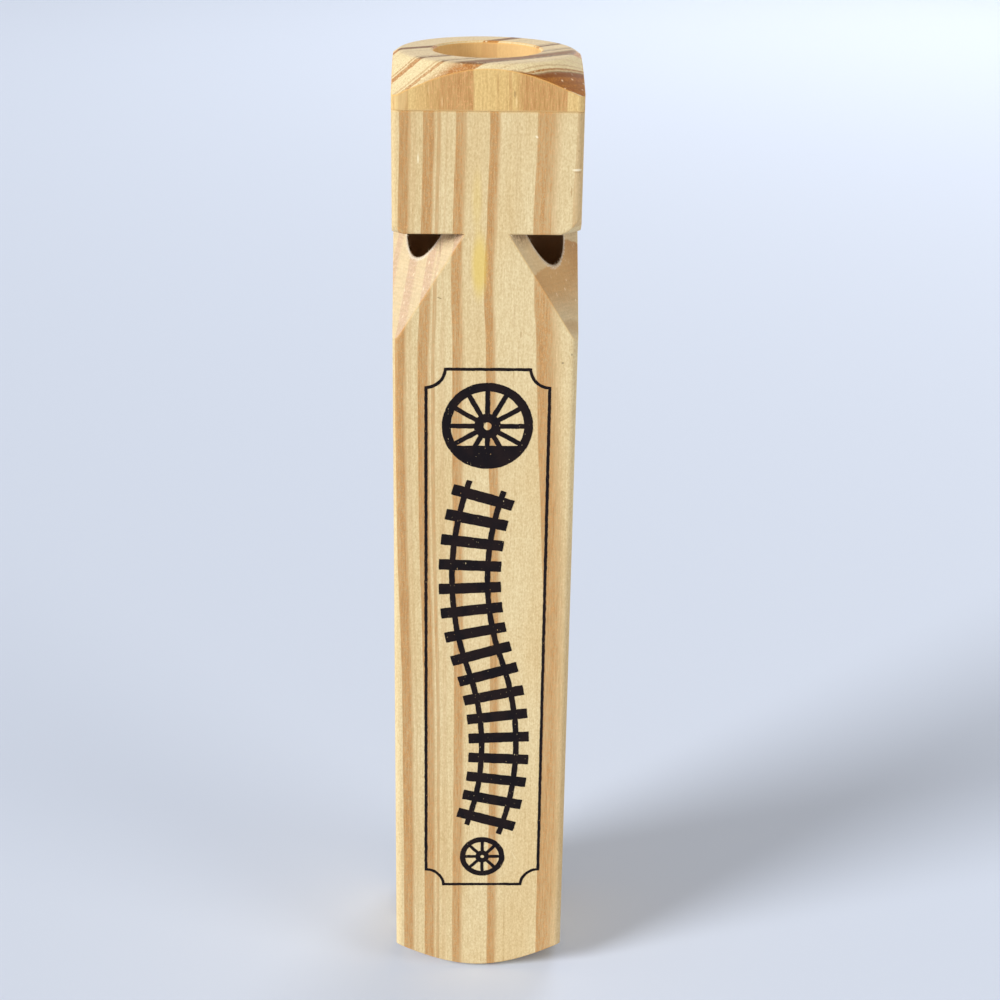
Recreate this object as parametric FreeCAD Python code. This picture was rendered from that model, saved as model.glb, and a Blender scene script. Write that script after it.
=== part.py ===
import FreeCAD, Part
import math
import os

from FreeCAD import Vector

# A four-note train whistle made of softwood, in millimetres.
# It stands on its foot at the origin, +Z runs up to the mouth hole, and -Y is the printed front.

# Square block and the cap that is glued on top of it
whistle_length = 208.0
block_side = 38.0
cap_height = 9.1
edge_round = 1.5

# Both ends are turned: a flat disc, a soft rim, and a cone that trims the four corners
top_flat_radius = 17.7
top_cone_angle = 36.0
top_rim_round = 2.2
foot_flat_radius = 17.7
foot_cone_angle = 36.0
foot_rim_round = 1.0

# Mouth hole through the cap
mouth_radius = 10.9
mouth_ease = 0.4

# Four stopped pipes, bored down from the top of the block to four depths below the ledge
bore_radius = 6.35
bore_spacing = 19.0
front_left_pipe = 133.0
front_right_pipe = 119.0
back_right_pipe = 150.0
back_left_pipe = 101.0
front_left_drift_x = -0.2
front_left_drift_y = 0.9

# A notch in each corner: a level ledge under the head, then a slope down and out to the corner
ledge_drop = 24.5
notch_leg = 14.6
notch_length = 23.3

# The lower tips of the head are sanded round: how far in from the corner, and how far up
tip_trim = 2.15
tip_rise = 4.2
front_left_tip_trim = 1.0
front_left_tip_rise = 2.6
tip_clearance = 0.05

# Dowel plugs close the bores above the ledge, and a flat on each leaves the windway
plug_recess = 5.0
windway_depth = 1.6
glue_gap = 0.05

# Printed design on the front flat: a bordered panel with a wheel, a winding track and a small wheel
ink_thickness = 0.1
panel_centre_x = 0.6
panel_bottom = 22.4
panel_width = 26.0
panel_height = 124.0
border_line = 0.5
corner_scoop = 4.0

wheel_drop = 12.6
wheel_radius = 9.4
wheel_rim = 1.7
wheel_hub = 2.7
wheel_axle = 0.9
wheel_spokes = 12
spoke_width = 0.9
counterweight_drop = 4.4

small_wheel_rise = 7.6
small_wheel_radius = 5.0
small_wheel_rim = 1.1
small_wheel_hub = 1.5
small_wheel_axle = 0.5
small_wheel_spokes = 8
small_spoke_width = 0.6

track_bottom_gap = 2.2
track_bends = 2
bend_chord = 41.6
bend_bulge = 3.4
rail_gauge = 7.6
rail_width = 1.1
sleepers_per_bend = 8
sleeper_length = 13.2
sleeper_width = 2.3

# Heights and places that follow from the sizes above
half_side = block_side / 2
corner_reach = half_side * math.sqrt(2) - edge_round * (math.sqrt(2) - 1)
joint_height = whistle_length - cap_height
ledge_height = joint_height - ledge_drop
plug_top = joint_height - plug_recess
front_face = -half_side
panel_top = panel_bottom + panel_height
up = Vector(0, 0, 1)
outward = Vector(0, -1, 0)

# Two places nearer than this count as one
same_place = 0.01


def corner_plan():
    """The four corners, each with its pipe, its bore centre and the sanding of its tip."""
    nominal = bore_spacing / 2
    front_left_centre = (-nominal + front_left_drift_x, -nominal + front_left_drift_y)
    return (
        {"name": "front_left", "side": (-1, -1), "centre": front_left_centre,
         "pipe": front_left_pipe, "tip": (front_left_tip_trim, front_left_tip_rise)},
        {"name": "front_right", "side": (1, -1), "centre": (nominal, -nominal),
         "pipe": front_right_pipe, "tip": (tip_trim, tip_rise)},
        {"name": "back_right", "side": (1, 1), "centre": (nominal, nominal),
         "pipe": back_right_pipe, "tip": (tip_trim, tip_rise)},
        {"name": "back_left", "side": (-1, 1), "centre": (-nominal, nominal),
         "pipe": back_left_pipe, "tip": (tip_trim, tip_rise)},
    )


def square_bar(bottom, top):
    """A length of the square stock with its four long edges rounded."""
    bar = Part.makeBox(block_side, block_side, top - bottom, Vector(-half_side, -half_side, bottom))
    long_edges = [edge for edge in bar.Edges if edge.BoundBox.ZLength > same_place]
    return bar.makeFillet(edge_round, long_edges)


def ring_edges(shape, radius, height):
    """The full circles of a shape that have this radius about the axis, at this height."""
    return [edge for edge in shape.Edges
            if edge.isClosed() and abs(edge.BoundBox.XMax - radius) < same_place
            and abs(edge.CenterOfMass.z - height) < same_place]


def turned_end(end_height, inner_height, flat_radius, cone_angle, rim_round):
    """A turned body that reaches past the corners: a disc at end_height, then a cone, then a rod."""
    direction = 1 if inner_height > end_height else -1
    reach = half_side * math.sqrt(2)
    cone_reach = reach - flat_radius
    cone_end = end_height + direction * cone_reach * math.tan(math.radians(cone_angle))
    outline = Part.makePolygon([
        Vector(0, 0, end_height),
        Vector(flat_radius, 0, end_height),
        Vector(reach, 0, cone_end),
        Vector(reach, 0, inner_height),
        Vector(0, 0, inner_height),
        Vector(0, 0, end_height),
    ])
    body = Part.Face(outline).revolve(Vector(0, 0, 0), up, 360)
    return body.makeFillet(rim_round, ring_edges(body, flat_radius, end_height))


def notch_cutter(side):
    """A four-sided wedge: level on top at the ledge, sloping down and out to the corner."""
    margin = half_side
    sx, sy = side
    outer = half_side + margin
    inner = half_side - notch_leg - margin
    deep = ledge_height - notch_length * (notch_leg + 2 * margin) / notch_leg
    corner = Vector(sx * outer, sy * outer, ledge_height)
    along_x = Vector(sx * inner, sy * outer, ledge_height)
    along_y = Vector(sx * outer, sy * inner, ledge_height)
    tip = Vector(sx * outer, sy * outer, deep)
    triangles = ((corner, along_x, along_y), (corner, along_x, tip), (corner, along_y, tip),
                 (along_x, along_y, tip))
    faces = [Part.Face(Part.makePolygon([a, b, c, a])) for a, b, c in triangles]
    return Part.Solid(Part.Shell(faces))


def tip_cutter(side, trim, rise):
    """What sanding takes off the lower tip of the head at one corner, outside a turned, rounded form."""
    sx, sy = side
    reach = 2 * half_side
    quarter = Part.makeBox(reach, reach, rise, Vector(min(0, sx * reach), min(0, sy * reach), ledge_height))
    run = trim + tip_clearance
    bend = (run ** 2 + rise ** 2) / (2 * run)
    widest = corner_reach + tip_clearance
    centre = Vector(widest - bend, 0, ledge_height + rise)
    half_turn = -math.atan2(rise, bend - run) / 2
    bottom = Vector(0, 0, ledge_height)
    top = Vector(0, 0, ledge_height + rise)
    start = Vector(widest - run, 0, ledge_height)
    middle = centre + Vector(bend * math.cos(half_turn), 0, bend * math.sin(half_turn))
    end = Vector(widest, 0, ledge_height + rise)
    outline = Part.Wire([
        Part.makeLine(bottom, start),
        Part.Arc(start, middle, end).toShape(),
        Part.makeLine(end, top),
        Part.makeLine(top, bottom),
    ])
    kept = Part.Face(outline).revolve(Vector(0, 0, 0), up, 360)
    return quarter.cut(kept)


def bore(corner):
    """One stopped pipe, from its bottom to the top of the block."""
    x, y = corner["centre"]
    bottom = ledge_height - corner["pipe"]
    return Part.makeCylinder(bore_radius, joint_height - bottom, Vector(x, y, bottom), up)


def make_block():
    """The square body with its turned foot, four pipes and four corner notches."""
    block = square_bar(0, joint_height)
    foot = turned_end(0, joint_height, foot_flat_radius, foot_cone_angle, foot_rim_round)
    block = block.common(foot)
    for corner in corner_plan():
        block = block.cut(bore(corner))
        block = block.cut(notch_cutter(corner["side"]))
        block = block.cut(tip_cutter(corner["side"], *corner["tip"]))
    return block.removeSplitter()


def make_cap():
    """The mouthpiece: a slice of the same stock with a turned top and one round hole."""
    cap = square_bar(joint_height, whistle_length)
    cap = cap.common(turned_end(whistle_length, joint_height, top_flat_radius, top_cone_angle, top_rim_round))
    hole = Part.makeCylinder(mouth_radius, cap_height, Vector(0, 0, joint_height), up)
    cap = cap.cut(hole)
    return cap.makeChamfer(mouth_ease, ring_edges(cap, mouth_radius, whistle_length))


def make_plug(corner):
    """A dowel plug from the ledge up, flat on the side that faces the corner."""
    x, y = corner["centre"]
    sx, sy = corner["side"]
    length = plug_top - ledge_height
    plug = Part.makeCylinder(bore_radius - glue_gap, length, Vector(x, y, ledge_height), up)
    flat_offset = bore_radius - windway_depth
    shaving = Part.makeBox(bore_radius, 4 * bore_radius, length, Vector(flat_offset, -2 * bore_radius, 0))
    shaving.rotate(Vector(0, 0, 0), up, math.degrees(math.atan2(sy, sx)))
    shaving.translate(Vector(x, y, ledge_height))
    return plug.cut(shaving)


def ink_disc(radius, x, z):
    """A round patch of ink on the front flat."""
    return Part.makeCylinder(radius, ink_thickness, Vector(x, front_face, z), outward)


def ink_bar(width, height, x, z):
    """A straight patch of ink on the front flat, centred at x, z."""
    corner = Vector(x - width / 2, front_face - ink_thickness, z - height / 2)
    return Part.makeBox(width, ink_thickness, height, corner)


def scooped_panel(inset):
    """A filled panel whose four corners are scooped out by a quarter circle, like an old ticket."""
    width = panel_width - 2 * inset
    height = panel_height - 2 * inset
    middle = (panel_bottom + panel_top) / 2
    panel = ink_bar(width, height, panel_centre_x, middle)
    for x in (panel_centre_x - panel_width / 2, panel_centre_x + panel_width / 2):
        for z in (panel_bottom, panel_top):
            panel = panel.cut(ink_disc(corner_scoop + inset, x, z))
    return panel


def make_border():
    """One thin line that runs around the panel."""
    return scooped_panel(0).cut(scooped_panel(border_line))


def make_spoked_wheel(z, radius, rim, hub, axle, spokes, spoke):
    """A spoked wheel seen from its side."""
    wheel = ink_disc(radius, panel_centre_x, z).cut(ink_disc(radius - rim, panel_centre_x, z))
    wheel = wheel.fuse(ink_disc(hub, panel_centre_x, z))
    reach = radius - rim / 2
    for index in range(spokes):
        arm = ink_bar(spoke, reach, panel_centre_x, z + reach / 2)
        arm.rotate(Vector(panel_centre_x, 0, z), Vector(0, 1, 0), 360 * index / spokes)
        wheel = wheel.fuse(arm)
    wheel = wheel.cut(ink_disc(axle, panel_centre_x, z))
    return wheel.removeSplitter()


def make_counterweight(z):
    """The filled lower part of the large wheel, below a level chord."""
    height = wheel_radius - counterweight_drop
    below = ink_bar(2 * wheel_radius, height, panel_centre_x, z - counterweight_drop - height / 2)
    return ink_disc(wheel_radius - wheel_rim / 2, panel_centre_x, z).common(below)


def make_bend(index, start_z):
    """One bend of the track: two rails on arcs about one centre, with sleepers set across them."""
    side = 1 if index % 2 == 0 else -1
    radius = (bend_chord ** 2 / 4 + bend_bulge ** 2) / (2 * bend_bulge)
    half_angle = math.degrees(math.asin(bend_chord / 2 / radius))
    middle_z = start_z + (index + 0.5) * bend_chord
    centre = Vector(panel_centre_x + side * (bend_bulge - radius), front_face, middle_z)
    first_angle = -half_angle if side > 0 else 180 - half_angle
    pieces = []
    for rail in (-rail_gauge / 2, rail_gauge / 2):
        outer = Part.makeCylinder(radius + rail + rail_width / 2, ink_thickness, Vector(0, 0, 0), up, 2 * half_angle)
        inner = Part.makeCylinder(radius + rail - rail_width / 2, ink_thickness)
        pieces.append(outer.cut(inner))
    for number in range(sleepers_per_bend):
        sleeper = Part.makeBox(sleeper_length, sleeper_width, ink_thickness,
                               Vector(radius - sleeper_length / 2, -sleeper_width / 2, 0))
        sleeper.rotate(Vector(0, 0, 0), up, 2 * half_angle * (number + 0.5) / sleepers_per_bend)
        pieces.append(sleeper)
    bend = pieces[0].multiFuse(pieces[1:])
    bend.rotate(Vector(0, 0, 0), up, first_angle)
    bend.rotate(Vector(0, 0, 0), Vector(1, 0, 0), 90)
    bend.translate(centre)
    return bend


def make_track():
    """The winding track, standing between the two wheels."""
    start_z = panel_bottom + small_wheel_rise + small_wheel_radius + track_bottom_gap
    bends = [make_bend(index, start_z) for index in range(track_bends)]
    track = bends[0]
    for bend in bends[1:]:
        track = track.fuse(bend)
    return track.removeSplitter()


def make_design():
    """All the ink on the front flat, as separate thin patches."""
    wheel_height = panel_top - wheel_drop
    wheel = make_spoked_wheel(wheel_height, wheel_radius, wheel_rim, wheel_hub, wheel_axle,
                              wheel_spokes, spoke_width)
    wheel = wheel.fuse(make_counterweight(wheel_height)).removeSplitter()
    small_wheel = make_spoked_wheel(panel_bottom + small_wheel_rise, small_wheel_radius, small_wheel_rim,
                                    small_wheel_hub, small_wheel_axle, small_wheel_spokes,
                                    small_spoke_width)
    return Part.makeCompound([make_border(), wheel, small_wheel, make_track()])


def whistle_parts():
    """Every separate piece by its node name."""
    parts = {"block": make_block(), "mouthpiece_cap": make_cap(), "printed_design": make_design()}
    for corner in corner_plan():
        parts["fipple_plug_" + corner["name"]] = make_plug(corner)
    return parts


os.makedirs("parts", exist_ok=True)
for node, shape in whistle_parts().items():
    shape.exportStep("parts/" + node + ".step")
    print(node, "solids", len(shape.Solids), "volume", round(shape.Volume, 1), "valid", shape.isValid())
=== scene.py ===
import math
import random

import bmesh
import bpy
from mathutils import Matrix, Vector, noise


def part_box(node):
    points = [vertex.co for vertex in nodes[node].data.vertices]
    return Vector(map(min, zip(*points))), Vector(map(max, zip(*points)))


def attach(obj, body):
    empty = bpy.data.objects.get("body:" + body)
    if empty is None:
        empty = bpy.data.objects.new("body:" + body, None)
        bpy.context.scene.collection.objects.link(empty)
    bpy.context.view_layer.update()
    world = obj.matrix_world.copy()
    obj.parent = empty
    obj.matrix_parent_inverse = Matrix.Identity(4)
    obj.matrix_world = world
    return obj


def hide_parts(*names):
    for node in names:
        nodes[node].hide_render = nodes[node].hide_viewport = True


# Wooden train whistle, bare sanded softwood with a black print.
# The solids come packed; this script gives them their wood, their ink and their torn fibres.
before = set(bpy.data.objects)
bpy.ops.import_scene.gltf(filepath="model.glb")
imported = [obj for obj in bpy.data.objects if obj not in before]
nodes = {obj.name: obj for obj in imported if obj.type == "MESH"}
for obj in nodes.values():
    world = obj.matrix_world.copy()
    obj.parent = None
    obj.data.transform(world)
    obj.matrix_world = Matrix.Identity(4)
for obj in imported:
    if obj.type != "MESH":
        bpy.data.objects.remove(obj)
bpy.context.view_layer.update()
mm = 0.001
print("whistle loaded:", ", ".join(sorted(nodes)))


# Small helpers for the shader work

def paint(red, green, blue):                        # a colour as picked on screen, 0 to 255
    def linear(level):
        level = level / 255
        return level / 12.92 if level <= 0.04045 else ((level + 0.055) / 1.055) ** 2.4
    return (linear(red), linear(green), linear(blue), 1.0)


def wire(tree, socket, value):                      # sockets get linked, plain values get typed in
    if isinstance(value, bpy.types.NodeSocket):
        tree.links.new(value, socket)
    else:
        socket.default_value = value


def calc(tree, operation, *values, clamp=False):
    step = tree.nodes.new("ShaderNodeMath")
    step.operation = operation
    step.use_clamp = clamp
    for socket, value in zip(step.inputs, values):
        wire(tree, socket, value)
    return step.outputs[0]


def ramp(tree, value, start, end, low=0.0, high=1.0):
    step = tree.nodes.new("ShaderNodeMapRange")
    step.interpolation_type = "SMOOTHSTEP"
    for socket, item in zip(step.inputs, (value, start, end, low, high)):
        wire(tree, socket, item)
    return step.outputs[0]


def tint(tree, share, under, over, way="MIX"):
    step = tree.nodes.new("ShaderNodeMix")
    step.data_type = "RGBA"
    step.blend_type = way
    for index, value in ((0, share), (6, under), (7, over)):
        wire(tree, step.inputs[index], value)
    return step.outputs[2]


def cloud(tree, place, perMm, seed=0.0, detail=2.0, rough=0.55):   # soft noise, 0.5 on average
    shift = tree.nodes.new("ShaderNodeMapping")
    wire(tree, shift.inputs["Vector"], place)
    shift.inputs["Location"].default_value = (seed, seed * 0.7, seed * 1.3)
    shift.inputs["Scale"].default_value = perMm
    step = tree.nodes.new("ShaderNodeTexNoise")
    wire(tree, step.inputs["Vector"], shift.outputs[0])
    step.inputs["Scale"].default_value = 1.0
    step.inputs["Detail"].default_value = detail
    step.inputs["Roughness"].default_value = rough
    return step.outputs[0]


def swing(tree, value, size):                       # noise about 0.5 turned into plus or minus size
    return calc(tree, "MULTIPLY_ADD", value, size * 2, -size)


def vector(tree, x, y, z):
    step = tree.nodes.new("ShaderNodeCombineXYZ")
    for socket, value in zip(step.inputs, (x, y, z)):
        wire(tree, socket, value)
    return step.outputs[0]


def newMaterial(name):
    made = bpy.data.materials.new(name)
    made.use_nodes = True
    return made, made.node_tree, made.node_tree.nodes["Principled BSDF"]


def emboss(tree, surface, strength, depth, height):   # depth in mm
    bump = tree.nodes.new("ShaderNodeBump")
    bump.inputs["Strength"].default_value = strength
    bump.inputs["Distance"].default_value = depth * mm
    wire(tree, bump.inputs["Height"], height)
    wire(tree, surface.inputs["Normal"], bump.outputs[0])
    return bump


def places(tree):                                   # the point being shaded, in millimetres
    coords = tree.nodes.new("ShaderNodeTexCoord")
    scaled = tree.nodes.new("ShaderNodeVectorMath")
    scaled.operation = "SCALE"
    wire(tree, scaled.inputs[0], coords.outputs["Object"])
    scaled.inputs["Scale"].default_value = 1 / mm
    split = tree.nodes.new("ShaderNodeSeparateXYZ")
    wire(tree, split.inputs[0], scaled.outputs[0])
    return scaled.outputs[0], split.outputs[0], split.outputs[1], split.outputs[2]


def distanceFrom(tree, x, y, centre):               # seen from above
    across = calc(tree, "SUBTRACT", x, centre[0])
    along = calc(tree, "SUBTRACT", y, centre[1])
    square = calc(tree, "MULTIPLY_ADD", across, across, calc(tree, "MULTIPLY", along, along))
    return calc(tree, "SQRT", square)


def tubes(tree, place, gap):                        # distance to the nearest of many upright tubes
    cells = tree.nodes.new("ShaderNodeTexVoronoi")
    cells.voronoi_dimensions = "2D"
    wire(tree, cells.inputs["Vector"], place)
    cells.inputs["Scale"].default_value = 1 / gap
    return cells.outputs["Distance"]


# And for the pieces that are made here

def putIn(name, data):
    piece = bpy.data.objects.new(name, data)
    bpy.context.scene.collection.objects.link(piece)
    return piece


def pieceFrom(shape, name, meshName, material):
    mesh = bpy.data.meshes.new(meshName)
    shape.to_mesh(mesh)
    shape.free()
    mesh.materials.append(material)
    return putIn(name, mesh)


# Solid softwood: growth rings about a pith that lies outside the stick, cut as they come.
# Each layer of grain has its waves per mm, across, across and along the tree. Four numbers
# in a set are a ramp: where it starts and ends, and what it gives at its start and end.

figure = {
    "ringFall": 0.05,           # mm before its end where a ring starts to fall off
    "wander": {"perMm": (0.05, 0.05, 0.014), "seed": 0, "detail": 2.0, "rough": 0.55},
    "ragged": {"perMm": (1.7, 1.7, 0.09), "seed": 3, "detail": 2.0, "rough": 0.55},
    "threads": {
        "perMm": (2.6, 2.6, 0.035), "seed": 7, "detail": 3.0, "rough": 0.6,
        "onLate": (0.25, 0.75, 0.70, 1.27), "between": (0.56, 0.8, 0.0, 0.2),
    },
    "hairs": {"perMm": (6.0, 6.0, 0.35), "seed": 11, "detail": 2.0, "rough": 0.6},
    "specks": {
        "perMm": (3.0, 3.0, 1.8), "seed": 17, "detail": 1.0, "rough": 0.6,
        "onLate": (0.28, 0.72, 0.50, 1.42),
    },
    "patches": {
        "perMm": (0.09, 0.09, 0.02), "seed": 23, "detail": 2.0, "rough": 0.55,
        "blend": (0.35, 0.65),
    },
    "canalWave": {"perMm": (0.3, 0.3, 0.06), "seed": 31, "detail": 2.0, "rough": 0.55},
}
cuts = {                        # how upright a face's normal is, from a plain side to a full cut
    "slant": (0.12, 0.36),
    "end": (0.84, 0.97),
    "fadeIn": 0.2,              # mm above the ledge
    "edge": (0.995, 0.92),      # how far the worn normal agrees with the true one
}
canals = {
    "sway": 0.8,                # mm
    "core": 0.5,                # the share of a canal that shows fully
    "onLate": (0.1, 0.6, 0.1, 1.0),
    "endShare": 0.45,           # the flat ends show fewer of them
}
surfaces = {
    "lateRough": 1.7,           # late wood is more uneven than the pale wood
    "lateShine": 0.12,          # and a little glossier
    "redPower": 0.7,            # shade takes least of the red and most of the blue
    "bluePower": 1.4,
    "specular": 0.18,
    "lateRelief": 0.5,
    "hairRelief": 0.8,
    "speckRelief": 0.6,
    "reliefDepth": 0.05,        # mm
}


def growthRings(tree, rings, soft, radius):
    band = None
    for start, full, outer, depth in rings:
        grow = ramp(tree, radius, start, full, 0.0, depth)
        stop = ramp(tree, radius, outer + soft, outer - figure["ringFall"])
        ring = calc(tree, "MULTIPLY", grow, stop)
        band = ring if band is None else calc(tree, "MAXIMUM", band, ring)
    return band


def layer(tree, wood, place, kind):
    grain = figure[kind]
    return cloud(tree, place, grain["perMm"], wood["seed"] + grain["seed"], grain["detail"], grain["rough"])


def pithDistance(tree, wood, place, x, y, z):
    wander = swing(tree, layer(tree, wood, place, "wander"), wood["wander"])
    ragged = swing(tree, layer(tree, wood, place, "ragged"), wood["ragged"])
    radius = distanceFrom(tree, x, y, wood["pith"])
    radius = calc(tree, "ADD", calc(tree, "ADD", radius, wander), ragged)
    for shape in wood["drift"]:                     # the stick isn't cut quite along the tree
        spot = {"x": x, "y": y, "z": z}[shape["along"]]
        shift = ramp(tree, spot, shape["from"], shape["to"], 0.0, shape["by"])
        if "inside" in shape:
            shift = calc(tree, "MULTIPLY", shift, ramp(tree, radius, *shape["inside"]))
        radius = calc(tree, "ADD", radius, shift)
    return radius


def resinCanals(tree, wood, place, x, y):           # they run up the tree and wander a little
    sway = swing(tree, layer(tree, wood, place, "canalWave"), canals["sway"])
    bent = vector(tree, calc(tree, "ADD", x, sway), calc(tree, "SUBTRACT", y, sway), 0.0)
    reach = tubes(tree, bent, wood["canalGap"])
    return ramp(tree, reach, wood["canalSize"], wood["canalSize"] * canals["core"])


def canalShow(tree, wood, late, slant, endGrain):   # short strokes on a cut, faint lines on the sides
    show = calc(tree, "MULTIPLY", ramp(tree, late, *canals["onLate"]), wood["canalEndShow"])
    show = calc(tree, "SUBTRACT", show, wood["canalSideShow"])
    show = calc(tree, "MULTIPLY_ADD", slant, show, wood["canalSideShow"])
    return calc(tree, "MULTIPLY", show, ramp(tree, endGrain, 0.0, 1.0, 1.0, canals["endShare"]))


def edgeRoundingAndHighlight(tree, wood, trueNormal):              # sanding takes the sharpness off every edge; its mask carries a painted highlight along the edges
    worn = tree.nodes.new("ShaderNodeBevel")
    worn.samples = 4
    worn.inputs["Radius"].default_value = wood["edgeRadius"] * mm
    turned = tree.nodes.new("ShaderNodeVectorMath")
    turned.operation = "DOT_PRODUCT"
    wire(tree, turned.inputs[0], worn.outputs[0])
    wire(tree, turned.inputs[1], trueNormal)
    return worn.outputs[0], ramp(tree, turned.outputs["Value"], *cuts["edge"])


def grainShade(tree, wood, threads, hairs, specks, late, slant):   # light and dark, the dark a bit warmer
    rough = calc(tree, "ADD", swing(tree, hairs, wood["hairShade"]), swing(tree, specks, wood["speckShade"]))
    rough = calc(tree, "MULTIPLY", rough, calc(tree, "MULTIPLY_ADD", late, surfaces["lateRough"], 1.0))
    rough = calc(tree, "MULTIPLY", rough, calc(tree, "MULTIPLY_ADD", slant, wood["slantRough"] - 1, 1.0))
    shade = calc(tree, "ADD", calc(tree, "ADD", swing(tree, threads, wood["threadShade"]), 1.0), rough)
    red = calc(tree, "POWER", shade, surfaces["redPower"])
    blue = calc(tree, "POWER", shade, surfaces["bluePower"])
    return vector(tree, red, shade, blue)


def softwood(tree, wood, place, x, y, z):
    radius = pithDistance(tree, wood, place, x, y, z)
    threads = layer(tree, wood, place, "threads")
    hairs = layer(tree, wood, place, "hairs")
    specks = layer(tree, wood, place, "specks")
    patches = layer(tree, wood, place, "patches")
    late = growthRings(tree, wood["rings"], wood["ringEdge"], radius)
    late = calc(tree, "MULTIPLY", late, ramp(tree, threads, *figure["threads"]["onLate"]), clamp=True)
    cutLate = calc(tree, "MULTIPLY", late, ramp(tree, radius, *wood["slantFade"]), clamp=True)
    late = calc(tree, "MULTIPLY", late, ramp(tree, specks, *figure["specks"]["onLate"]), clamp=True)
    late = calc(tree, "ADD", late, ramp(tree, threads, *figure["threads"]["between"]), clamp=True)

    geometry = tree.nodes.new("ShaderNodeNewGeometry")
    trueNormal = geometry.outputs["True Normal"]
    facing = tree.nodes.new("ShaderNodeSeparateXYZ")
    wire(tree, facing.inputs[0], trueNormal)
    upright = calc(tree, "ABSOLUTE", facing.outputs[2])
    slant = ramp(tree, upright, *cuts["slant"])     # notches and cones cut across the fibres
    if "slantBelow" in wood:
        below = ramp(tree, z, wood["slantBelow"] + cuts["fadeIn"], wood["slantBelow"])
        slant = calc(tree, "MULTIPLY", slant, below)
    endGrain = ramp(tree, upright, *cuts["end"])    # and the flat ends show them end on

    pale = tint(tree, ramp(tree, patches, *figure["patches"]["blend"]), wood["pale"], wood["paleToo"])
    colour = tint(tree, late, pale, wood["late"])
    far = ramp(tree, radius, *wood["slantFade"][:2])
    cutColour = tint(tree, cutLate, wood["slantPale"], tint(tree, far, wood["slantLate"], wood["slantFar"]))
    colour = tint(tree, slant, colour, cutColour)
    colour = tint(tree, endGrain, colour, tint(tree, late, wood["endPale"], wood["endLate"]))
    canal = resinCanals(tree, wood, place, x, y)
    canal = calc(tree, "MULTIPLY", canal, canalShow(tree, wood, late, slant, endGrain))
    colour = tint(tree, canal, colour, tint(tree, slant, wood["canalSide"], wood["canalEnd"]))
    shade = grainShade(tree, wood, threads, hairs, specks, late, slant)
    colour = tint(tree, 1.0, colour, shade, "MULTIPLY")

    relief = calc(tree, "MULTIPLY", hairs, surfaces["hairRelief"])
    relief = calc(tree, "MULTIPLY_ADD", late, surfaces["lateRelief"], relief)
    relief = calc(tree, "MULTIPLY_ADD", specks, surfaces["speckRelief"], relief)
    wornNormal, edge = edgeRoundingAndHighlight(tree, wood, trueNormal)
    return {
        "colour": colour, "late": late, "slant": slant, "endGrain": endGrain, "upright": upright,
        "radius": radius, "relief": relief, "hairs": hairs, "edge": edge, "normal": wornNormal,
    }


def finishWood(tree, surface, wood, colour, grain):
    # a painted highlight along every edge, partly worn pale wood
    edgeHighlightColour = tint(tree, grain["late"], wood["edgeHighlight"], wood["edgeHighlightLate"])
    colour = tint(tree, calc(tree, "MULTIPLY", grain["edge"], wood["edgeHighlightShow"]), colour, edgeHighlightColour)
    wire(tree, surface.inputs["Base Color"], colour)
    dull = ramp(tree, grain["late"], 0.0, 1.0, wood["dull"], wood["dull"] - surfaces["lateShine"])
    wire(tree, surface.inputs["Roughness"], dull)
    surface.inputs["Specular IOR Level"].default_value = surfaces["specular"]
    bump = emboss(tree, surface, wood["relief"], surfaces["reliefDepth"], grain["relief"])
    wire(tree, bump.inputs["Normal"], grain["normal"])


def mark(at, size, core, show, colour, lean=0.0):   # one fleck, stain, nick or patch of painted shadow: its place and size in mm
    return {"at": at, "size": size, "core": core, "show": show, "colour": colour, "lean": math.radians(lean)}


def spots(tree, place, colour, marks, tornAndShadedMask=None):   # each mark is a soft blob
    for blob in marks:
        shift = tree.nodes.new("ShaderNodeMapping")
        shift.vector_type = "TEXTURE"
        wire(tree, shift.inputs["Vector"], place)
        shift.inputs["Location"].default_value = blob["at"]
        shift.inputs["Scale"].default_value = blob["size"]
        shift.inputs["Rotation"].default_value = (0.0, blob["lean"], 0.0)
        far = tree.nodes.new("ShaderNodeVectorMath")
        far.operation = "LENGTH"
        wire(tree, far.inputs[0], shift.outputs[0])
        share = ramp(tree, far.outputs["Value"], 1.0, blob["core"], 0.0, blob["show"])
        if tornAndShadedMask is not None:
            share = calc(tree, "MULTIPLY", share, tornAndShadedMask)
        colour = tint(tree, share, colour, blob["colour"])
    return colour


# The block: square stock with narrow rings at the left and one broad soft ring at the right

notch = {"foot": 151.1, "rise": 23.3, "leg": 14.6, "half": 19.0, "ledge": 174.4}   # the corner cuts, mm
# The joint: a painted shadow in the gap under the cap's lower edge, and a painted highlight on that edge
joint = {
    "height": 198.9,                                # mm
    "open": (-17.9, -17.2),                         # the painted shadow and highlight of the joint show right of here
    "soft": 0.3,
    "shadowBelow": 0.08,
    "highlightAbove": 0.12,
}
wallSkin = (0.06, 0.03)                             # mm from a bore's wall

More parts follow.
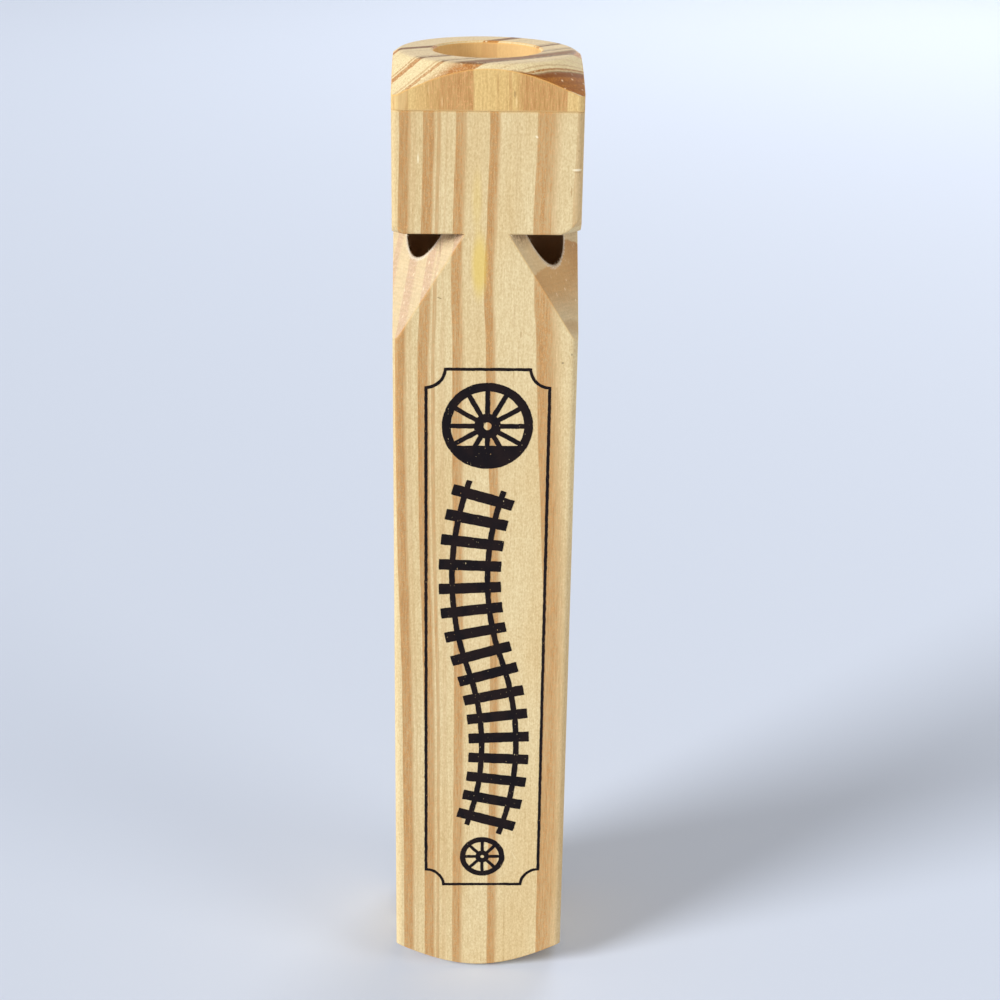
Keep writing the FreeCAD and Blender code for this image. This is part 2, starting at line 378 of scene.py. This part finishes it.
block = {
    "pith": (33.3, -35.7),
    "rings": (                  # where a ring starts, is darkest and stops, mm from the pith, and how dark
        (18.5, 20.5, 22.6, 0.35), (24.0, 27.0, 28.5, 0.80), (35.1, 36.3, 37.3, 0.94),
        (41.0, 42.1, 43.4, 0.80), (44.6, 44.9, 45.2, 0.18), (45.9, 46.3, 46.8, 0.55),
        (46.9, 47.7, 49.3, 0.88), (50.4, 50.9, 51.2, 0.20), (51.2, 52.3, 53.8, 0.90),
        (56.2, 57.3, 58.1, 0.80), (60.1, 61.5, 62.4, 0.72), (65.1, 66.0, 66.7, 0.82),
        (68.9, 70.3, 71.0, 0.68), (73.5, 74.6, 75.3, 0.78), (77.2, 78.3, 79.0, 0.75),
    ),
    "ringEdge": 0.14,
    "wander": 0.35,
    "ragged": 0.16,
    "drift": (                  # bends: from where to where, by how much, and in which rings, mm
        {"along": "z", "from": 150.0, "to": 55.0, "by": 0.7},
        {"along": "z", "from": 168.0, "to": 88.0, "by": 1.8, "inside": (35.0, 26.5)},
        {"along": "y", "from": -16.5, "to": -7.0, "by": -3.0, "inside": (34.0, 31.4)},
        {"along": "z", "from": 176.0, "to": 196.0, "by": 0.45},
        {"along": "z", "from": 166.0, "to": 178.0, "by": -0.7, "inside": (34.0, 31.4)},
        {"along": "z", "from": 178.0, "to": 167.0, "by": -0.4},
        {"along": "z", "from": 163.0, "to": 151.0, "by": 0.4},
        {"along": "z", "from": 163.0, "to": 150.0, "by": -0.7, "inside": (44.5, 46.0)},
        {"along": "z", "from": 120.0, "to": 60.0, "by": 0.7, "inside": (44.5, 46.0)},
        {"along": "z", "from": 156.0, "to": 108.0, "by": 1.1, "inside": (40.0, 38.0)},
        {"along": "z", "from": 156.0, "to": 108.0, "by": -1.1, "inside": (34.0, 31.0)},
    ),
    "seed": 4.0,
    "pale": paint(226, 204, 157),
    "paleToo": paint(221, 195, 145),
    "late": paint(190, 142, 88),
    "slantBelow": notch["ledge"],
    "slantFade": (34.0, 42.0, 1.0, 0.62),          # from where to where, and how strong before and after
    "slantPale": paint(218, 195, 154),
    "slantLate": paint(202, 154, 98),
    "slantFar": paint(199, 160, 134),
    "endPale": paint(222, 196, 158),
    "endLate": paint(168, 130, 94),
    "slantRough": 0.35,
    "canalGap": 2.1,
    "canalSize": 0.09,
    "canalSideShow": 0.16,
    "canalEndShow": 0.6,
    "canalSide": paint(176, 130, 80),
    "canalEnd": paint(246, 226, 190),
    "threadShade": 0.14,
    "hairShade": 0.18,
    "speckShade": 0.28,
    "dull": 0.66,
    "relief": 0.55,
    "edgeRadius": 0.65,
    # painted highlight along the edges, partly worn pale wood
    "edgeHighlightShow": 0.85,
    "edgeHighlight": paint(243, 208, 146),
    "edgeHighlightLate": paint(236, 172, 98),
    "slopeUpright": (0.7, 0.6),
    "slopeRings": ((23.0, 23.8, 24.1, 0.36), (26.0, 28.0, 28.4, 0.42)),
    "slopeRingEdge": 0.4,
    "slopeDark": paint(172, 122, 74),
    "sawPerMm": (0.35, 0.35, 2.8),                  # chatter of the saw, across the slopes
    "sawSeed": 52.0,
    "sawShade": 0.18,
    "tornPerMm": (2.8, 2.8, 0.5),
    "tornSeed": 56.0,
    "tornShare": (0.38, 0.6, 0.25, 1.0),
    "boreRadius": 6.35,
    "bores": ((-9.7, -8.6), (9.5, -9.5), (9.5, 9.5), (-9.5, 9.5)),
    # bore walls darker: partly a drill-burnt tone, partly painted shade down the bores
    "boreWall": paint(176, 138, 100),
    "rimWhite": paint(246, 236, 216),
    "rimShow": 0.8,
    "rimReach": (0.40, 0.12),                       # mm
    "rimRag": 0.6,
    "edgeClear": (0.5, 1.0),                        # no painted edge highlight this near a window, mm
    # painted shadow in the joint's gap
    "jointGapShadow": paint(132, 92, 54),
    "paintedJointShow": 0.5,
    "tornGrainAndLedgeShadow": (                # grey torn grain with the ledge's painted shadow, under both ends of every ledge
        mark((6.8, 17.4, 174.0), (3.8, 3.0, 3.6), 0.1, 0.75, paint(144, 114, 86)),
        mark((17.4, 6.8, 174.0), (3.0, 3.8, 3.6), 0.1, 0.75, paint(144, 114, 86)),
    ),
    "slopeMarks": (             # warmer wood at the right, and dark fibres at the left
        mark((12.0, -14.0, 168.0), (9.0, 9.0, 10.0), 0.3, 0.34, paint(238, 196, 134)),
        mark((-9.3, -16.2, 171.2), (0.2, 2.5, 3.2), 0.3, 0.5, paint(150, 118, 92)),
        mark((-9.0, -14.6, 173.6), (0.5, 1.2, 0.6), 0.3, 0.8, paint(60, 40, 32)),
    ),
    "marks": (
        # a yellow stain
        mark((-1.4, -19.0, 168.0), (2.1, 0.6, 9.0), 0.35, 0.62, paint(232, 201, 98)),
        mark((-2.0, -19.0, 181.0), (1.5, 0.6, 9.0), 0.2, 0.28, paint(232, 202, 106)),
        # dark pecks on the right corner
        mark((17.7, -18.6, 149.4), (0.4, 0.6, 0.5), 0.4, 0.8, paint(70, 48, 32)),
        mark((15.9, -19.0, 147.6), (0.3, 0.4, 0.3), 0.4, 0.6, paint(96, 66, 42)),
        mark((18.4, -18.2, 108.2), (0.3, 0.5, 0.5), 0.4, 0.6, paint(88, 60, 38)),
        # a pale nick and its shadow
        mark((17.6, -18.6, 187.5), (1.3, 0.9, 0.36), 0.4, 0.9, paint(255, 244, 214)),
        mark((17.8, -18.6, 187.0), (1.0, 0.9, 0.22), 0.3, 0.5, paint(160, 124, 84)),
        # small pale and dark hairs
        mark((9.6, -19.0, 194.0), (0.5, 0.4, 0.3), 0.2, 0.8, paint(255, 244, 214), 35.0),
        mark((-13.7, -19.0, 189.5), (0.3, 0.4, 1.3), 0.2, 0.8, paint(252, 238, 200)),
        mark((7.2, -19.0, 153.6), (0.16, 0.4, 1.1), 0.4, 0.6, paint(172, 128, 76)),
        mark((16.7, -19.0, 183.2), (0.2, 0.4, 1.3), 0.4, 0.6, paint(178, 128, 74)),
        mark((17.9, -18.6, 191.3), (0.45, 0.6, 0.4), 0.2, 0.6, paint(166, 120, 76)),
        mark((-9.4, -19.0, 161.2), (0.7, 0.4, 0.14), 0.4, 0.7, paint(124, 94, 58), 20.0),
        mark((7.9, -19.0, 30.0), (0.24, 0.4, 2.0), 0.2, 0.5, paint(244, 228, 184), -30.0),
    ),
}


def sawnMarkedAndShaded(tree, colour, place, x, y, z, grain, onSlope):
    chatter = cloud(tree, place, block["sawPerMm"], block["sawSeed"])
    shade = calc(tree, "MULTIPLY_ADD", swing(tree, chatter, block["sawShade"]), onSlope, 1.0)
    colour = tint(tree, 1.0, colour, vector(tree, shade, shade, shade), "MULTIPLY")
    slopeBand = growthRings(tree, block["slopeRings"], block["slopeRingEdge"], grain["radius"])
    colour = tint(tree, calc(tree, "MULTIPLY", slopeBand, onSlope), colour, block["slopeDark"])
    colour = spots(tree, place, colour, block["marks"])
    # under both ends of every ledge: grey torn grain with a painted shadow of the ledge, in streaks on the
    # slopes
    anyCorner = vector(tree, calc(tree, "ABSOLUTE", x), calc(tree, "ABSOLUTE", y), z)
    streaks = cloud(tree, place, block["tornPerMm"], block["tornSeed"], 2.0, 0.6)
    tornAndShadedMask = calc(tree, "MULTIPLY", onSlope, ramp(tree, streaks, *block["tornShare"]))
    colour = spots(tree, anyCorner, colour, block["tornGrainAndLedgeShadow"], tornAndShadedMask)
    return spots(tree, place, colour, block["slopeMarks"], onSlope)


def drilledWindows(tree, colour, x, y, grain, onSlope):   # white torn rims, and the walls behind them, darker with a drill-burnt tone and painted shade
    for centre in block["bores"]:
        fromWall = calc(tree, "SUBTRACT", distanceFrom(tree, x, y, centre), block["boreRadius"])
        grain["edge"] = calc(tree, "MULTIPLY", grain["edge"], ramp(tree, fromWall, *block["edgeClear"]))
        reach = calc(tree, "ADD", fromWall, swing(tree, grain["hairs"], block["rimRag"]))
        rim = ramp(tree, reach, *block["rimReach"], 0.0, block["rimShow"])
        colour = tint(tree, calc(tree, "MULTIPLY", rim, onSlope), colour, block["rimWhite"])
        # the walls darker: partly a drill-burnt tone, partly painted shade down the bore
        colour = tint(tree, ramp(tree, fromWall, *wallSkin), colour, block["boreWall"])
    return colour


def buildBlockWood():
    material, tree, surface = newMaterial("whistleBlockWood")
    place, x, y, z = places(tree)
    grain = softwood(tree, block, place, x, y, z)
    onSlope = calc(tree, "MULTIPLY", grain["slant"], ramp(tree, grain["upright"], *block["slopeUpright"]))
    colour = sawnMarkedAndShaded(tree, grain["colour"], place, x, y, z, grain, onSlope)
    # painted shadow in the joint's gap, just below the cap
    soft = joint["height"] - joint["soft"]
    jointShadowShare = ramp(tree, z, soft, joint["height"] - joint["shadowBelow"], 0.0, block["paintedJointShow"])
    jointShadowShare = calc(tree, "MULTIPLY", jointShadowShare, ramp(tree, x, *joint["open"]))
    colour = tint(tree, jointShadowShare, colour, block["jointGapShadow"])
    colour = drilledWindows(tree, colour, x, y, grain, onSlope)
    finishWood(tree, surface, block, colour, grain)
    return material


nodes["block"].material_slots[0].material = buildBlockWood()
print("block wood:", len(block["rings"]), "rings")


# The cap: another stick, more orange, its pith far behind the left corner

cap = {
    "pith": (-63.8, 92.2),
    "rings": (
        (82.2, 83.4, 84.0, 0.95), (92.0, 93.3, 94.0, 0.95), (102.8, 103.1, 105.0, 1.25),
        (107.4, 107.7, 108.0, 0.20), (113.8, 114.0, 114.3, 0.60), (114.6, 115.0, 116.1, 0.80),
        (119.3, 119.6, 119.9, 0.40), (120.2, 120.5, 121.1, 0.70), (120.8, 125.0, 126.7, 0.92),
        (128.9, 129.1, 129.3, 0.15), (130.5, 130.7, 130.9, 0.20),
        (131.4, 131.6, 131.9, 0.50), (132.0, 133.2, 137.9, 0.88), (141.0, 144.0, 145.0, 0.90),
    ),
    "ringEdge": 0.16,
    "topRings": ((102.9, 103.3, 104.7, 0.85), (115.0, 115.5, 116.1, 0.50), (122.8, 123.6, 125.3, 0.95)),
    "topDark": paint(128, 84, 34),
    "topRingEdge": 0.4,
    "topHairs": (0.35, 0.65, 0.55, 1.0),
    "topEdge": (0.0, 0.8, 1.0, 0.2),                # a dark ring keeps its colour on an edge, without the painted highlight
    "coneRings": ((131.8, 132.5, 133.3, 0.75), (134.2, 134.6, 134.9, 0.35), (135.6, 136.0, 136.2, 0.30)),
    "coneDark": paint(122, 64, 12),
    "coneRingEdge": 0.5,
    "wander": 0.25,
    "ragged": 0.2,
    "drift": (
        {"along": "y", "from": -18.3, "to": -18.95, "by": 1.4, "inside": (129.2, 130.4)},
    ),
    "seed": 40.0,
    "pale": paint(229, 197, 136),
    "paleToo": paint(224, 189, 124),
    "late": paint(196, 145, 90),
    "slantFade": (128.0, 131.0, 0.95, 1.6),
    "slantPale": paint(235, 215, 168),
    "slantLate": paint(182, 116, 54),
    "slantFar": paint(164, 100, 24),
    "endPale": paint(226, 204, 164),
    "endLate": paint(104, 66, 34),
    "slantRough": 1.0,
    "canalGap": 2.1,
    "canalSize": 0.13,
    "canalSideShow": 0.14,
    "canalEndShow": 0.75,
    "canalSide": paint(168, 116, 62),
    "canalEnd": paint(250, 228, 184),
    "threadShade": 0.24,
    "hairShade": 0.26,
    "speckShade": 0.30,
    "dull": 0.62,
    "relief": 0.55,
    "edgeRadius": 0.5,
    # painted highlight along the edges, partly worn pale wood
    "edgeHighlightShow": 0.9,
    "edgeHighlight": paint(246, 194, 114),
    "edgeHighlightLate": paint(244, 186, 104),
    # painted highlight on the cap's lower edge
    "jointEdgeHighlight": paint(246, 222, 170),
    "paintedJointShow": 0.4,
    "boreRadius": 10.9,
    "boreWall": paint(236, 198, 138),
    "boreShow": 0.7,
    "marks": (
        # paler wood at the left corner
        mark((-17.4, -19.0, 203.0), (1.9, 0.6, 7.0), 0.6, 0.6, paint(232, 200, 140)),
        # small dark and pale hairs
        mark((5.15, -19.0, 202.3), (0.24, 0.4, 1.0), 0.3, 0.5, paint(120, 74, 40)),
        mark((5.5, -19.0, 200.8), (0.2, 0.4, 1.5), 0.3, 0.7, paint(248, 218, 160)),
        mark((1.83, -19.0, 204.2), (0.16, 0.4, 3.2), 0.3, 0.6, paint(168, 116, 64)),
        mark((-9.0, -19.0, 200.6), (0.16, 0.4, 1.4), 0.3, 0.6, paint(244, 214, 160)),
        mark((-11.7, -19.0, 203.1), (0.14, 0.4, 1.2), 0.3, 0.5, paint(244, 214, 160)),
    ),
}


def buildCapWood():
    material, tree, surface = newMaterial("whistleCapWood")
    place, x, y, z = places(tree)
    grain = softwood(tree, cap, place, x, y, z)
    coneBand = growthRings(tree, cap["coneRings"], cap["coneRingEdge"], grain["radius"])
    coneBand = calc(tree, "MULTIPLY", coneBand, grain["slant"])
    colour = tint(tree, coneBand, grain["colour"], cap["coneDark"])
    topBand = growthRings(tree, cap["topRings"], cap["topRingEdge"], grain["radius"])
    topBand = calc(tree, "MULTIPLY", topBand, grain["endGrain"])
    topBand = calc(tree, "MULTIPLY", topBand, ramp(tree, grain["hairs"], *cap["topHairs"]))
    colour = tint(tree, topBand, colour, cap["topDark"])
    grain["edge"] = calc(tree, "MULTIPLY", grain["edge"], ramp(tree, topBand, *cap["topEdge"]))
    colour = spots(tree, place, colour, cap["marks"])
    # painted highlight on the cap's lower edge, just above the joint
    soft = joint["height"] + joint["soft"]
    jointHighlightShare = ramp(tree, z, soft, joint["height"] + joint["highlightAbove"], 0.0, cap["paintedJointShow"])
    jointHighlightShare = calc(tree, "MULTIPLY", jointHighlightShare, ramp(tree, x, *joint["open"]))
    colour = tint(tree, jointHighlightShare, colour, cap["jointEdgeHighlight"])
    fromWall = calc(tree, "SUBTRACT", distanceFrom(tree, x, y, (0.0, 0.0)), cap["boreRadius"])
    wall = ramp(tree, fromWall, *wallSkin, 0.0, cap["boreShow"])
    colour = tint(tree, wall, colour, cap["boreWall"])
    finishWood(tree, surface, cap, colour, grain)
    return material


nodes["mouthpiece_cap"].material_slots[0].material = buildCapWood()
print("cap wood:", len(cap["rings"]), "rings")


# The dowel plugs: close-grained hardwood, seen only down the mouth hole

dowel = {
    "pale": paint(206, 170, 118),
    "dark": paint(178, 138, 88),
    "pore": paint(128, 92, 56),
    "poreGap": 0.9,             # mm
    "poreSize": (0.16, 0.05),
    "poreShow": 0.6,
    "streakPerMm": (1.2, 1.2, 0.05),
    "streakSeed": 60.0,
    "dull": 0.7,
    "relief": 0.4,
}


def buildDowelWood():
    material, tree, surface = newMaterial("whistleDowelWood")
    place = places(tree)[0]
    streak = cloud(tree, place, dowel["streakPerMm"], dowel["streakSeed"], 3.0, 0.6)
    colour = tint(tree, ramp(tree, streak, 0.35, 0.65), dowel["pale"], dowel["dark"])
    pore = ramp(tree, tubes(tree, place, dowel["poreGap"]), *dowel["poreSize"], 0.0, dowel["poreShow"])
    colour = tint(tree, pore, colour, dowel["pore"])
    wire(tree, surface.inputs["Base Color"], colour)
    wire(tree, surface.inputs["Roughness"], ramp(tree, streak, 0.2, 0.8, dowel["dull"], dowel["dull"] + 0.1))
    height = calc(tree, "SUBTRACT", streak, pore)
    emboss(tree, surface, dowel["relief"], surfaces["reliefDepth"], height)
    return material


dowelWood = buildDowelWood()
dowelNames = [name for name in sorted(nodes) if name.startswith("fipple_plug")]
for name in dowelNames:
    nodes[name].material_slots[0].material = dowelWood
print("dowel wood on", len(dowelNames), "plugs")


# Torn fibres: short slivers that the saw and the drill left round the windows and under the ledges

fibres = {
    "seed": 21,
    "onRim": 30,                # slivers on each window's rim
    "underLedge": 44,           # and below each ledge, thickest at its two ends
    "length": (0.2, 1.0),       # mm
    "thick": (0.05, 0.11),
    "curl": 0.4,
    "taper": 0.6,
    "steps": 4,
    "sides": 3,
    "rim": {"length": 0.6, "in": (0.2, 0.9), "out": (0.05, 0.35), "up": (-0.8, 0.5), "below": 0.2},
    "ledge": {
        "crowd": 1.6, "drop": (0.0, 0.9), "down": (0.3, 1.0), "out": (0.1, 0.5),
        "side": (-0.4, 0.4), "up": (-0.2, 0.6),
    },
    "kindPerMm": (0.8, 0.8, 0.8),
    "kindSeed": 90.0,
    "furrowsPerMm": (9.0, 9.0, 2.0),
    "furrowsSeed": 94.0,
    "pale": paint(236, 220, 190),
    "brown": paint(176, 142, 106),
    "dull": 0.75,
    "specular": 0.2,
    "relief": 0.3,
    "reliefDepth": 0.02,        # mm
}


def buildFibreWood():
    material, tree, surface = newMaterial("whistleTornFibre")
    place = places(tree)[0]
    kind = cloud(tree, place, fibres["kindPerMm"], fibres["kindSeed"])
    colour = tint(tree, ramp(tree, kind, 0.4, 0.62), fibres["pale"], fibres["brown"])
    wire(tree, surface.inputs["Base Color"], colour)
    wire(tree, surface.inputs["Roughness"], ramp(tree, kind, 0.2, 0.8, fibres["dull"], fibres["dull"] + 0.1))
    surface.inputs["Specular IOR Level"].default_value = fibres["specular"]
    furrows = cloud(tree, place, fibres["furrowsPerMm"], fibres["furrowsSeed"])
    emboss(tree, surface, fibres["relief"], fibres["reliefDepth"], furrows)
    return material


def sliver(shape, root, way, side, length, thick):   # all in mm: a thin spike that bends to one side
    across = way.cross(side).normalized()
    side = across.cross(way).normalized()
    rings = []
    for step in range(fibres["steps"]):
        share = step / fibres["steps"]
        centre = root + way * length * share + side * length * fibres["curl"] * share ** 2
        reach = thick / 2 * (1 - share) ** fibres["taper"]
        ring = []
        for corner in range(fibres["sides"]):
            angle = math.tau * corner / fibres["sides"]
            spot = centre + (side * math.cos(angle) + across * math.sin(angle)) * reach
            ring.append(shape.verts.new(spot * mm))
        rings.append(ring)
    tip = shape.verts.new((root + way * length + side * length * fibres["curl"]) * mm)
    shape.faces.new(list(reversed(rings[0])))
    for lower, upper in zip(rings, rings[1:]):
        for corner in range(fibres["sides"]):
            after = (corner + 1) % fibres["sides"]
            shape.faces.new((lower[corner], lower[after], upper[after], upper[corner]))
    for corner in range(fibres["sides"]):
        shape.faces.new((rings[-1][corner], rings[-1][(corner + 1) % fibres["sides"]], tip))


def onSlopeAt(x, y):
    inwards = (2 * notch["half"] - abs(x) - abs(y)) / notch["leg"]
    return Vector((x, y, notch["foot"] + notch["rise"] * inwards))


def cornerOf(centre):                               # a bore's corner, and where its slope faces
    sides = (math.copysign(1, centre[0]), math.copysign(1, centre[1]))
    outward = Vector((sides[0] * notch["rise"], sides[1] * notch["rise"], notch["leg"])).normalized()
    return sides, outward


def anyWay(draw):
    return Vector((draw.uniform(-1, 1), draw.uniform(-1, 1), draw.uniform(-1, 1)))


def addRimFibres(shape, draw, centre):
    outward = cornerOf(centre)[1]
    rim = fibres["rim"]
    made = 0
    while made < fibres["onRim"]:
        angle = draw.uniform(0.0, math.tau)
        ring = Vector((math.cos(angle), math.sin(angle), 0.0))
        root = onSlopeAt(centre[0] + ring.x * block["boreRadius"], centre[1] + ring.y * block["boreRadius"])
        if not notch["foot"] < root.z < notch["ledge"] - rim["below"]:
            continue
        way = ring * -draw.uniform(*rim["in"]) + outward * draw.uniform(*rim["out"])
        way.z += draw.uniform(*rim["up"])
        lean = anyWay(draw)
        length = draw.uniform(*fibres["length"]) * rim["length"]
        sliver(shape, root + ring * 0.03, way.normalized(), lean, length, draw.uniform(*fibres["thick"]))
        made += 1


def addLedgeFibres(shape, draw, centre):
    sides, outward = cornerOf(centre)
    downhill = Vector((sides[0] * notch["leg"], sides[1] * notch["leg"], -2 * notch["rise"])).normalized()
    start = notch["half"] - notch["leg"]
    ledge = fibres["ledge"]
    made = 0
    while made < fibres["underLedge"]:
        share = 0.5 * draw.random() ** ledge["crowd"]
        if made % 2:
            share = 1 - share
        x = sides[0] * (start + notch["leg"] * share)
        y = sides[1] * (notch["half"] - notch["leg"] * share)
        if math.dist((x, y), centre) < block["boreRadius"]:
            continue
        drop = draw.uniform(*ledge["drop"])
        root = onSlopeAt(x, y) + downhill * drop - outward * 0.02
        way = downhill * draw.uniform(*ledge["down"]) + outward * draw.uniform(*ledge["out"])
        stray = (draw.uniform(*ledge["side"]), draw.uniform(*ledge["side"]), draw.uniform(*ledge["up"]))
        way += Vector(stray)
        lean = anyWay(draw)
        length = draw.uniform(*fibres["length"])
        sliver(shape, root, way.normalized(), lean, length, draw.uniform(*fibres["thick"]))
        made += 1


def buildFibres():
    draw = random.Random(fibres["seed"])
    shape = bmesh.new()
    for centre in block["bores"]:
        addRimFibres(shape, draw, centre)
        addLedgeFibres(shape, draw, centre)
    piece = pieceFrom(shape, "torn_fibres", "tornFibres", buildFibreWood())
    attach(piece, "root")
    return piece


tornFibres = buildFibres()
print("torn fibres:", len(tornFibres.data.polygons), "faces")


# The print: thin dry ink with ragged edges, where the grain shows through in pinholes

ink = {
    "black": paint(20, 15, 19),
    "brownBlack": paint(31, 22, 23),
    "blotPerMm": (0.35, 0.35, 0.2),
    "blotSeed": 80.0,
    "dotsPerMm": (3.4, 3.4, 1.6),
    "dotsSeed": 84.0,
    "hairsInDots": 0.25,
    "pinholes": (0.84, 0.92, 0.0, 0.8),
    "dull": 0.6,
    "specular": 0.1,
    "relief": 0.35,
    "reliefDepth": 0.03,                            # mm
    "thickness": 0.05 * mm,
    "weld": 0.002 * mm,
    "flat": math.radians(0.5),
    "longestEdge": 0.45 * mm,
    "cuts": 10,
    "spread": 0.07 * mm,                            # how far the wet ink crept past the stamp's edge
    "ragWaves": ((0.9, 0.07), (2.6, 0.05)),         # waves per mm and their size in mm
    "ragSeed": 5,
}


def buildInk():
    material, tree, surface = newMaterial("whistleInk")
    place, x, y, z = places(tree)
    grain = softwood(tree, block, place, x, y, z)
    blot = cloud(tree, place, ink["blotPerMm"], ink["blotSeed"])
    colour = tint(tree, ramp(tree, blot, 0.35, 0.65), ink["black"], ink["brownBlack"])
    dots = cloud(tree, place, ink["dotsPerMm"], ink["dotsSeed"], 1.0, 0.5)
    pinhole = calc(tree, "MULTIPLY_ADD", grain["hairs"], ink["hairsInDots"], dots)
    pinhole = ramp(tree, pinhole, *ink["pinholes"])
    colour = tint(tree, pinhole, colour, grain["colour"])
    wire(tree, surface.inputs["Base Color"], colour)
    wire(tree, surface.inputs["Roughness"], ramp(tree, blot, 0.3, 0.7, ink["dull"], ink["dull"] + 0.15))
    surface.inputs["Specular IOR Level"].default_value = ink["specular"]
    emboss(tree, surface, ink["relief"], ink["reliefDepth"], calc(tree, "ADD", grain["hairs"], dots))
    return material


def isFlat(face):                                   # the front or the back of the print, not its sides
    return abs(face.normal.y) > 0.5


def spreadInk(shape):                               # push the sides outwards, each corner by both its sides
    push = {}
    for face in shape.faces:
        if not isFlat(face):
            for corner in face.verts:
                push.setdefault(corner, Vector())
                push[corner] += face.normal
    for corner, way in push.items():
        way.y = 0.0
        if way.length > 0:
            corner.co += way.normalized() * ink["spread"]


def buildPrint():
    source = nodes["printed_design"].data
    shape = bmesh.new()
    shape.from_mesh(source)
    bmesh.ops.remove_doubles(shape, verts=shape.verts, dist=ink["weld"])
    bmesh.ops.dissolve_limit(shape, angle_limit=ink["flat"], verts=shape.verts, edges=shape.edges)
    for _ in range(ink["cuts"]):                    # halve long edges until the rag has points to move
        tooLong = [edge for edge in shape.edges if edge.calc_length() > ink["longestEdge"]]
        if not tooLong:
            break
        bmesh.ops.bisect_edges(shape, edges=tooLong, cuts=1)
    bmesh.ops.triangulate(shape, faces=shape.faces)
    shape.normal_update()
    faces = [face for face in shape.faces if isFlat(face)]
    edges = [edge for edge in shape.edges if all(isFlat(face) for face in edge.link_faces)]
    bmesh.ops.beautify_fill(shape, faces=faces, edges=edges, method="AREA")
    shape.normal_update()
    spreadInk(shape)
    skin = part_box("printed_design")[1].y            # the side that lies on the wood
    noise.seed_set(ink["ragSeed"])
    for point in shape.verts:
        for waves, size in ink["ragWaves"]:
            at = Vector((point.co.x, 0.0, point.co.z)) / mm * waves
            push = noise.noise_vector(at) * size * mm
            point.co.x += push.x
            point.co.z += push.z
        if point.co.y < skin - 0.5 * ink["thickness"]:
            point.co.y = skin - ink["thickness"]
    piece = pieceFrom(shape, "printed_ink", "printedInk", buildInk())
    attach(piece, "root")
    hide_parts("printed_design")
    return piece


printedInk = buildPrint()
print("print:", len(printedInk.data.polygons), "faces")


# Plain pale floor

floor = {"radius": 3.0, "sides": 96, "colour": paint(214, 223, 240), "dull": 0.9}


def buildFloor():
    material, _, surface = newMaterial("paleFloor")
    surface.inputs["Base Color"].default_value = floor["colour"]
    surface.inputs["Roughness"].default_value = floor["dull"]
    shape = bmesh.new()
    bmesh.ops.create_circle(shape, cap_ends=True, radius=floor["radius"], segments=floor["sides"])
    piece = pieceFrom(shape, "floor", "floor", material)


buildFloor()


# Soft studio light: a broad one from the front left, a weak lamp at the right and one behind

key = {"from": (-0.88, -0.50, 0.48), "strength": 3.10, "softness": 24}
lamps = {
    "fill": {"at": (1.60, -1.10, 0.90), "size": 1.2, "power": 13.5, "colour": (1.0, 0.94, 0.84)},
    "back": {"at": (0.70, 1.70, 1.10), "size": 1.2, "power": 12.0, "colour": (1.0, 1.0, 1.0)},
}
lampsAim = Vector((0.0, 0.0, 0.10))
sky = {"light": 0.27, "shown": 0.9}


def aimed(name, light, at):
    holder = putIn(name, light)
    holder.location = at
    holder.rotation_euler = (lampsAim - Vector(at)).to_track_quat("-Z", "Y").to_euler()


def buildLight():
    window = bpy.data.lights.new("key", "SUN")
    window.energy = key["strength"]
    window.angle = math.radians(key["softness"])
    aimed("key", window, lampsAim + Vector(key["from"]))
    for name, lamp in lamps.items():
        light = bpy.data.lights.new(name, "AREA")
        light.shape = "DISK"
        light.size = lamp["size"]
        light.energy = lamp["power"]
        light.color = lamp["colour"]
        aimed(name, light, lamp["at"])
    world = bpy.data.worlds.new("studio")
    bpy.context.scene.world = world
    world.use_nodes = True
    tree = world.node_tree
    path = tree.nodes.new("ShaderNodeLightPath")
    seen = calc(tree, "MAXIMUM", path.outputs["Is Camera Ray"], path.outputs["Is Glossy Ray"])
    seen = calc(tree, "MAXIMUM", seen, path.outputs["Is Transmission Ray"])
    strength = calc(tree, "MULTIPLY_ADD", seen, sky["shown"] - sky["light"], sky["light"])
    wire(tree, tree.nodes["Background"].inputs["Strength"], strength)
    tree.nodes["Background"].inputs["Color"].default_value = (1.0, 1.0, 1.0, 1.0)


buildLight()
bpy.context.scene.view_settings.view_transform = "Standard"
print("floor and lamps in place")


# Camera as in the photograph: the whistle seen from 0.48 m, from a little above

view = {
    "at": (-0.00778, -0.39652, 0.26830),
    "lens": 69.5,
    "sensor": 36.0,
    "turn": -1.703,             # degrees
    "down": 21.790,
    "roll": 0.873,
}


def buildCamera():
    camera = putIn("camera", bpy.data.cameras.new("camera"))
    camera.data.lens = view["lens"]
    camera.data.sensor_width = view["sensor"]
    turn = Matrix.Rotation(math.radians(view["turn"]), 4, "Z")
    tilt = Matrix.Rotation(math.radians(90 - view["down"]), 4, "X")
    roll = Matrix.Rotation(math.radians(view["roll"]), 4, "Z")
    camera.matrix_world = Matrix.Translation(view["at"]) @ turn @ tilt @ roll
    bpy.context.scene.camera = camera


buildCamera()
print("camera set")
